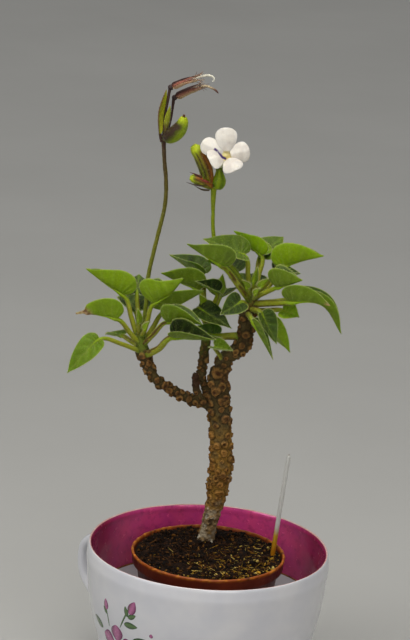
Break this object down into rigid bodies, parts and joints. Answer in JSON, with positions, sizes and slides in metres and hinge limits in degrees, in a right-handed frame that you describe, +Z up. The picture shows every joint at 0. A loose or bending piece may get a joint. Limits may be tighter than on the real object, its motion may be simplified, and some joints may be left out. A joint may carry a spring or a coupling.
{
  "type": "potted deinostigma tamiana",
  "caption": "Small flowering house plant with bare scarred stems, crowns of folded velvety leaves and two flower stalks, in a nursery pot that stands inside a porcelain teacup.",
  "frame": {"origin": "middle of the teacup's foot; the recess inside the foot ring lies 1 mm above it, and the cup rests on Z = 0", "axes": "+Z up along the cup's axis, +X to the right and +Y to the back as the picture sees the plant; the handle is at the back left"},
  "size_m": [0.1, 0.09, 0.239],
  "materials": {
    "porcelain": "glossy white glaze, magenta lustre inside with a fine gold line",
    "pot_plastic": "moulded red-brown plastic, satin, rubbed along the rim",
    "potting_mix": "crumbly dark peat with straw-coloured fibres",
    "bark": "corky stem with raised ochre leaf scars, greener near the crowns",
    "leaf": "velvety, finely hairy, with paler hairy margins",
    "green_stalk": "downy green, brown-purple in places",
    "dry_flower": "withered, papery brown",
    "petal": "soft white petal with a fine sparkle, a pale yellow throat and a purple line",
    "clear_plastic": "translucent colourless rod, stained olive near the soil"
  },
  "bodies": {
    "root": {"bract_inner": "green_stalk", "bract_outer": "green_stalk", "calyx": "green_stalk", "corolla": "petal", "flower_bud_large": "green_stalk", "flower_bud_small": "green_stalk", "flower_stalk_left": "green_stalk", "flower_stalk_right": "green_stalk", "leaf_inner_01": "leaf", "leaf_inner_02": "leaf", "leaf_left_01": "leaf", "leaf_left_02": "leaf", "leaf_left_03": "leaf", "leaf_left_04": "leaf", "leaf_left_05": "leaf", "leaf_left_06": "leaf", "leaf_left_07": "leaf", "leaf_left_08": "leaf", "leaf_left_09": "leaf", "leaf_left_10": "leaf", "leaf_middle_01": "leaf", "leaf_middle_02": "leaf", "leaf_middle_03": "leaf", "leaf_middle_04": "leaf", "leaf_middle_05": "leaf", "leaf_right_01": "leaf", "leaf_right_02": "leaf", "leaf_right_03": "leaf", "leaf_right_04": "leaf", "leaf_right_05": "leaf", "leaf_right_06": "leaf", "leaf_right_07": "leaf", "leaf_right_08": "leaf", "leaf_right_09": "leaf", "leaf_right_10": "leaf", "leaf_right_11": "leaf", "leaf_right_12": "leaf", "leaf_right_13": "leaf", "leaf_right_14": "leaf", "leaf_right_15": "leaf", "leaf_right_16": "leaf", "leaf_right_17": "leaf", "marker_stick": "clear_plastic", "nursery_pot": "pot_plastic", "potting_mix": "potting_mix", "seed_capsule": "green_stalk", "spent_flower_lower": "dry_flower", "spent_flower_upper": "dry_flower", "stem": "bark", "teacup": "porcelain"}
  },
  "joints": []
}
